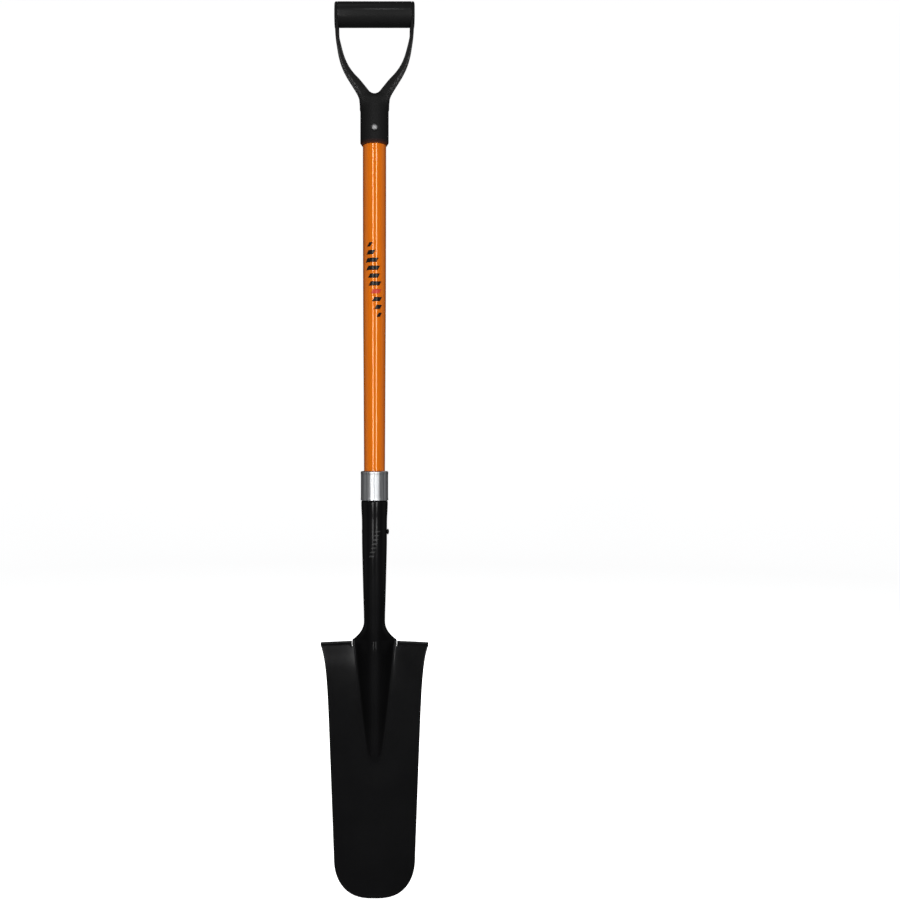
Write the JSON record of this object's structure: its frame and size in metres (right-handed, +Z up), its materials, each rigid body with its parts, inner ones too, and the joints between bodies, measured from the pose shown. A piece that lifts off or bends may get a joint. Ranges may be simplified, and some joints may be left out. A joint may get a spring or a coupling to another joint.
{
  "type": "drain spade",
  "caption": "Long-handled drain spade: narrow dished steel blade with turned steps and rolled socket, orange fibreglass shaft, steel ferrule and black D-shaped hand grip.",
  "frame": {"origin": "middle of the hand grip's crossbar, on its axis", "axes": "+Z up along the shaft with the blade's tip down, +X along the crossbar, the dished face of the blade towards -Y"},
  "size_m": [0.147, 0.0429, 1.2212],
  "materials": {
    "blade_paint": "satin black baked paint over pressed steel",
    "ferrule_steel": "drawn bright steel with lengthwise streaks",
    "shaft_gloss": "glossy orange fibreglass",
    "plug_wood": "plain turned hardwood",
    "yoke_polymer": "textured black moulded polymer",
    "sleeve_polymer": "smooth satin black moulded polymer",
    "rivet_steel": "bright plated steel"
  },
  "bodies": {
    "root": {"blade_with_socket": "blade_paint", "socket_rivet": "blade_paint", "ferrule": "ferrule_steel", "shaft": "shaft_gloss", "lower_shaft_plug": "plug_wood", "upper_shaft_plug": "plug_wood", "grip_yoke": "yoke_polymer", "grip_sleeve": "sleeve_polymer", "grip_rod": "rivet_steel", "grip_rivet": "rivet_steel", "grip_rivet_washer": "rivet_steel"}
  },
  "joints": []
}
